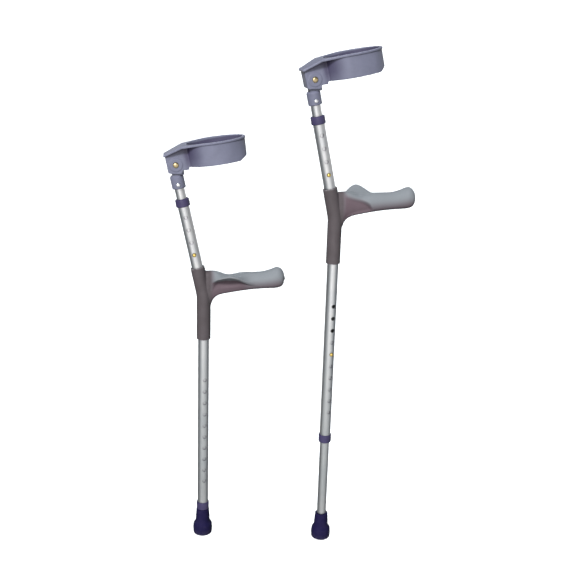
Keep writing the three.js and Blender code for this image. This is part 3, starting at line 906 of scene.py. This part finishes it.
def fitting():
    """A barrel on the forearm tube's end, with a round-topped tongue for the cuff's fork."""
    low, shoulder = FITTING_BOTTOM - PIVOT_UP, SHOULDER - PIVOT_UP
    bore, bore_top = INNER + 0.15, shoulder - 5.5
    profile = [(bore, low), (FITTING - 1.2, low), (FITTING, low + 1.2), (FITTING, shoulder - 3)]
    profile += [(FITTING - 2.4, shoulder), (0, shoulder), (0, bore_top), (bore, bore_top)]
    barrel = moved(lathe(profile), shifted(-PIVOT_FORWARD, 0, 0))
    arc = [(TONGUE * cos(pi * i / 24), TONGUE * sin(pi * i / 24)) for i in range(25)]
    foot = [(-TONGUE, shoulder - 1), (TONGUE, shoulder - 1)]
    body = join(barrel, plate(foot + arc, -TONGUE_HALF, TONGUE_HALF))
    rivet_hole = cross_rod(RIVET_BORE, *PAST_CHEEKS, -PIVOT_FORWARD, FITTING_RIVET - PIVOT_UP)
    pivot_hole = cross_rod(PIVOT_BORE, *PAST_CHEEKS)
    return moulded(cut(body, pivot_hole, rivet_hole), voxel=0.55, passes=5)


def ellipse(grow, sides=144):
    """The arm ring's outline, grown or shrunk all round."""
    rx, ry = RING_LONG / 2 + grow, RING_WIDE / 2 + grow
    turns = [2 * pi * i / sides for i in range(sides)]
    return [(RING_MIDDLE + rx * cos(a), ry * sin(a)) for a in turns]


def curve(p, q, r):
    """From p to r, drawn towards q, without p."""
    return bezier(p, q, r, CURVE_STEPS)[1:]


def round_backed(rear, half, corner, front):
    """An outline with round rear corners and the front points given."""
    inset = half - corner
    outline = [(rear + corner, -half), *front, (rear + corner, half)]
    outline += curve((rear + corner, half), (rear, half), (rear, inset)) + [(rear, -inset)]
    return outline + curve((rear, -inset), (rear, -half), (rear + corner, -half))[:-1]


def cuff_walls():
    """The box bracket and the ring, trimmed to the cuff's side view."""
    rear, front, half = BRACKET_REAR, BRACKET_FRONT, BRACKET_HALF
    side = [(-25, 20.4), (rear, 18), (rear, -10.5)]
    side += curve((rear, -10.5), (rear, -13.8), (-13.5, -14.6)) + [(4, -18.4)]
    side += curve((4, -18.4), (9, -19), (10, -15))
    side += [(11.5, -12.8), (22.5, -13.6), (24, -9), (122, -13.2)]
    side += [(135.3, -6.3), (138, 24.5), (141, 29), (60, 33.2), (17, 33)]
    bracket = slab(round_backed(rear, half, 3, [(front, -half), (front, half)]), *BLANK)
    return overlap(join(bracket, slab(ellipse(0), *RING_BLANK)), plate(side, *SIDE_VIEW))


def cuff_rim():
    """The overhanging deck and ring edge, as thick as the rim's side view."""
    side = [(-25, 20.4), (17, 33), (60, 33.2), (141, 29)]
    side += [(141, 25), (60, 29.2), (17, 29), (-25, 16.4)]
    meet_x, meet_y = RING_MIDDLE - 24, (RING_WIDE / 2 + OVERHANG) * 0.91
    front = [(meet_x, -meet_y), (meet_x, meet_y)]
    deck = slab(round_backed(RIM_REAR, RIM_HALF, 4, front), *BLANK)
    return overlap(join(deck, slab(ellipse(OVERHANG), *RING_BLANK)), plate(side, *RIM_VIEW))


def tone_cuff(obj):
    """Marks painted shade on the ring's inner wall and painted shadow in the creases where the ring
    meets the bracket.
    """
    inner_x, inner_y = RING_LONG / 2 - RING_WALL, RING_WIDE / 2 - RING_WALL

    # painted shade on the ring's inner wall
    def inside(x, y, z):
        if x <= 30:
            return 0
        on_wall = smooth_step(hypot((x - RING_MIDDLE) / inner_x, y / inner_y), 1.035, 1.01)
        return on_wall * (1 - smooth_step(z, 27.5, 30.5))

    # painted shadow under the overhanging deck, in the creases
    def crease_shadow(x, y, z):
        if abs(y) <= 13 or z >= 29:
            return 0
        along = (1 - smooth_step(x, 32, 62)) * smooth_step(x, 14, 24)
        return along * (0.45 + 0.55 * smooth_step(z, -12, 10))

    return mark(obj, shade=lambda x, y, z: CUFF_SHADE * max(inside(x, y, z), crease_shadow(x, y, z)))


def cuff():
    """The closed ring and its bracket, with a boss each side and a fork open underneath."""
    body = join(cuff_walls(), cuff_rim(), cross_rod(BOSS, -BOSS_HALF, BOSS_HALF, sides=64))
    half = FORK_HALF
    fork = [(FORK_REAR, -half), (FORK_FRONT, -half), (FORK_FRONT, half), (FORK_REAR, half)]
    arm_space = slab(ellipse(-RING_WALL), *ARM_SPACE)
    pivot_hole = cross_rod(PIVOT_BORE, *PAST_CHEEKS)
    body = cut(body, arm_space, slab(fork, BLANK[0], FORK_TOP), pivot_hole)
    return tone_cuff(moulded(body, voxel=0.75, passes=5))


# ------------------------------------------------------------------------------------------------
# The pair
# ------------------------------------------------------------------------------------------------

SHARP, MOULDED_SHARP = radians(38), radians(60)  # edges over these angles are drawn sharp


def finished(obj, name, body, slot, node, sharp=SHARP, finish=None, bend=None):
    """Names a piece, gives it its finish, and sets it on its body in place of its CAD node; given a
    bend, it only has its placing baked in.
    """
    obj.name = name
    obj.data.name = name
    obj.data.materials.clear()
    obj.data.materials.append(FINISHES[finish or slot])
    obj.data.shade_smooth()
    obj.data.set_sharp_from_angle(angle=sharp)
    if bend:
        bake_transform(obj)
    else:
        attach(obj, body)
    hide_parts(node)


def build(c):
    hand, top = c["hand"], c["top"]
    world = Matrix.Scale(0.001, 4) @ shifted(c["x"], c["y"], 0) @ turned(radians(c["yaw"]), "Z")
    forearm = world @ shifted(0, 0, top + BEND) @ turned(-LEAN, "Y")
    pivot = forearm @ shifted(PIVOT_FORWARD, 0, PIVOT_UP)
    cuff_frame = pivot @ turned(LEAN - radians(c["tilt"]), "Y")
    grip_axis = world @ shifted(0, 0, top + HANDLE_AXIS) @ turned(-HANDLE_TILT, "Y")
    leg_button = world @ shifted(0, 0, LEG_BUTTON) @ turned(LEG_TURN, "Z")
    forearm_button = forearm @ shifted(0, 0, FOREARM_BUTTON)

    def add(obj, matrix, what, body, slot, **how):
        name, node = f"{hand}_{what}_piece", f"{hand}_{what}"
        finished(moved(obj, matrix), name, f"{hand}_{body}", slot, node, **how)

    add(main_tube(c), world, "main_tube", "frame", "anodised_tube")
    add(leg_tube(), world, "leg_tube", "leg", "anodised_tube")
    add(forearm_tube(), forearm, "forearm_tube", "forearm", "anodised_tube")
    low, high, radius = LOWER_COLLAR
    add(collar(radius, top + low, top + high), world, "lower_collar", "frame", "collar_plastic")
    low, high, radius = FOREARM_COLLAR
    add(collar(radius, high, low), forearm, "forearm_collar", "frame", "collar_plastic")
    add(ferrule(), world, "ferrule", "leg", "ferrule_rubber")
    add(button(c["stow"]), leg_button, "leg_button", "leg_button_body", "brass")
    add(button(0), forearm_button, "forearm_button", "forearm_button_body", "brass")
    springs = (("leg", leg_button, 1, c["stow"]), ("forearm", forearm_button, -1, 0))
    for tube, place, way, stow in springs:
        start, end = (tuple(place @ Vector(point)) for point in spring_bend(way, stow))
        bend = (f"{hand}_{tube}_button_body", start, end)
        add(hairpin(way, stow), place, f"{tube}_button_spring", tube, "spring_steel", bend=bend)
    add(handle(c), world, "handle_moulding", "frame", "handle_plastic", sharp=MOULDED_SHARP)
    add(end_plug(), grip_axis, "handle_end_plug", "frame", "plug_plastic")
    add(fitting(), pivot, "cuff_fitting", "forearm", "cuff_plastic", sharp=MOULDED_SHARP)
    through_fitting = rivet(-PIVOT_FORWARD, FITTING_RIVET - PIVOT_UP, **FITTING_RIVET_SHAPE)
    add(through_fitting, pivot, "fitting_rivet", "forearm", "rivet_steel")
    through_cuff = rivet(0, 0, **CUFF_RIVET_SHAPE)
    add(through_cuff, pivot, "cuff_rivet", "forearm", "brass", finish="rivet_brass")
    add(cuff(), cuff_frame, "cuff", "cuff_body", "cuff_plastic", sharp=MOULDED_SHARP)


for crutch in CRUTCHES:
    build(crutch)

# Hidden pieces keep their CAD meshes and get a finish.
KEPT = {
    "handle_core": "steel_rod",
    "handle_bolt": "zinc_steel",
    "handle_barrel_nut": "zinc_steel",
    "tip_washer": "zinc_steel",
    "near_pivot_washer": "plug_plastic",
    "far_pivot_washer": "plug_plastic",
}
for crutch in CRUTCHES:
    for node, finish in KEPT.items():
        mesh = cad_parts[f"{crutch['hand']}_{node}"].data
        mesh.materials.clear()
        mesh.materials.append(FINISHES[finish])

# ------------------------------------------------------------------------------------------------
# Studio, in metres
# ------------------------------------------------------------------------------------------------

FLOOR_RADIUS, FLOOR_DROP = 40, 0.0002
FLOOR_TONES = (0.93, 0.93, 0.93, 1), (0.95, 0.95, 0.95, 1)
CAMERA_PLACE = (-0.19570, -1.77950, 1.09869)
CAMERA_HEADING, CAMERA_PITCH, CAMERA_ROLL = radians(-6.3914), radians(17.075), radians(1.8862)
CAMERA_LENS, CAMERA_SENSOR = 58.452, 36.0  # in millimetres
CAMERA_CLIP = (0.05, 100)


def floor():
    """A wide pale disc, just under the ferrules, with a hardly visible unevenness of tone."""
    material, tree, shader = principled("studio_floor", Roughness=0.9, Specular_IOR_Level=0.1)
    noise = add_node(tree, "TexNoise", {"Scale": 2.0}).outputs["Fac"]
    tree.links.new(mixed(tree, noise, *FLOOR_TONES), shader.inputs["Base Color"])
    bm = bmesh.new()
    bm.faces.new([bm.verts.new((x, y, -FLOOR_DROP)) for x, y in circle(FLOOR_RADIUS, 96)])
    obj = object_from(bm, "floor")
    obj.data.materials.append(material)
    if obj.data.polygons[0].normal.z < 0:
        obj.data.flip_normals()
    return obj


def grey(value):
    return (value, value, value)


def world_light():
    """Bright low in front and at the horizon. Darker to the sides, straight down and overhead."""
    world = bpy.data.worlds.new("studio")
    bpy.context.scene.world = world
    world.use_nodes = True
    tree = world.node_tree
    direction = add_node(tree, "TexCoord").outputs["Generated"]
    split = add_node(tree, "SeparateXYZ", {"Vector": direction})

    def ramp(axis, stops):
        """Colour stops along one axis of the view's direction, from -1 to 1."""
        node = add_node(tree, "ValToRGB", {"Fac": ranged(tree, split.outputs[axis], -1, 1)})
        elements = node.color_ramp.elements
        while len(elements) < len(stops):
            elements.new(0.5)
        for element, (position, colour) in zip(elements, stops):
            element.position = position / 2 + 0.5
            element.color = (*colour, 1)
        return node.outputs["Color"]

    black, white = grey(0), grey(1)
    sky = ramp("Z", [
        (-1, grey(0.22)),
        (-0.6, grey(0.42)),
        (-0.34, white),
        (-0.12, white),
        (0, grey(0.75)),
        (0.1, grey(0.72)),
        (0.22, (0.24, 0.24, 0.26)),
        (0.6, (0.3, 0.33, 0.36)),
        (1, (0.5, 0.6, 0.65)),
    ])
    left, right = (0.22, 0.25, 0.27), (0.21, 0.24, 0.26)
    sides = ramp("X", [(-0.92, left), (-0.42, white), (0.42, white), (0.92, right)])
    behind = ramp("Y", [(-0.1, white), (0.3, grey(0.35))])
    below = ramp("Z", [(-0.06, white), (-0.02, black)])
    off_horizon = ramp("Z", [(-0.06, white), (-0.02, black), (0.14, black), (0.24, white)])
    lit = mixed(tree, off_horizon, sky, sides, "MULTIPLY")
    background = tree.nodes["Background"].inputs
    tree.links.new(mixed(tree, below, lit, behind, "MULTIPLY"), background["Color"])
    background["Strength"].default_value = 1.5


def card(name, left, right, near, far, height, colour):
    """A grey card just over the floor that is seen only in reflections, as in a product studio."""
    bm = bmesh.new()
    corners = ((left, near), (right, near), (right, far), (left, far))
    bm.faces.new([bm.verts.new((x, y, height)) for x, y in corners])
    obj = object_from(bm, name)
    obj.data.materials.append(principled(name, Base_Color=(*colour, 1), Roughness=1.0)[0])
    obj.visible_camera = obj.visible_diffuse = False
    obj.visible_shadow = obj.visible_transmission = False


def sun(name, toward, strength, angle, colour=(1, 1, 1)):
    """A distant light that shines toward a direction, as wide as its angle in degrees."""
    data = bpy.data.lights.new(name, "SUN")
    data.energy = strength
    data.angle = radians(angle)
    data.color = colour
    obj = bpy.data.objects.new(name, data)
    bpy.context.scene.collection.objects.link(obj)
    obj.rotation_euler = Vector(toward).to_track_quat("-Z", "Y").to_euler()
    return obj


def only(name, obj, state):
    """A light-linking collection that includes or excludes one object."""
    group = bpy.data.collections.new(name)
    group.objects.link(obj)
    group.collection_objects[0].light_linking.link_state = state
    return group


def camera():
    """Stands as the photographer did: the heading, pitch and roll of the view, and its lens."""
    forward = Vector((0, cos(CAMERA_PITCH), -sin(CAMERA_PITCH)))
    right = Vector((1, 0, 0))
    up = right.cross(forward)
    across = cos(CAMERA_ROLL) * right + sin(CAMERA_ROLL) * up
    above = -sin(CAMERA_ROLL) * right + cos(CAMERA_ROLL) * up
    basis = Matrix((across, above, -forward)).transposed().to_4x4()
    data = bpy.data.cameras.new("camera")
    data.sensor_width = CAMERA_SENSOR
    data.lens = CAMERA_LENS
    data.clip_start, data.clip_end = CAMERA_CLIP
    obj = bpy.data.objects.new("camera", data)
    bpy.context.scene.collection.objects.link(obj)
    obj.matrix_world = shifted(*CAMERA_PLACE) @ turned(CAMERA_HEADING, "Z") @ basis
    bpy.context.scene.camera = obj


# The floor takes only its own lamp, so the crutches throw no shadow on it, as in the photograph.
ground = floor()
world_light()
ground.visible_diffuse = ground.visible_glossy = False
card(
    "front_card", left=-0.8, right=0.8, near=-0.95, far=-0.14, height=0.004,
    colour=(0.26, 0.27, 0.27),
)
key = sun("key", (0.34, 0.72, -0.60), strength=7.5, angle=12, colour=(1.0, 0.985, 0.98))
fill = sun("fill", (0.25, 0.9, -0.25), strength=1.6, angle=30, colour=(0.96, 0.98, 1.0))
back = sun("back", (-0.30, -0.85, -0.35), strength=3.6, angle=30, colour=(0.92, 0.97, 1.0))
key.visible_glossy = back.visible_glossy = False
for light in (key, fill, back):
    receivers = only(f"{light.name}_receivers", ground, "EXCLUDE")
    light.light_linking.receiver_collection = receivers
wash = sun("floor_wash", (0, 0, -1), strength=3.8, angle=40)
wash.light_linking.receiver_collection = only("wash_receivers", ground, "INCLUDE")
wash.light_linking.blocker_collection = only("wash_blockers", ground, "INCLUDE")
camera()
bpy.context.scene.view_settings.view_transform = "Standard"
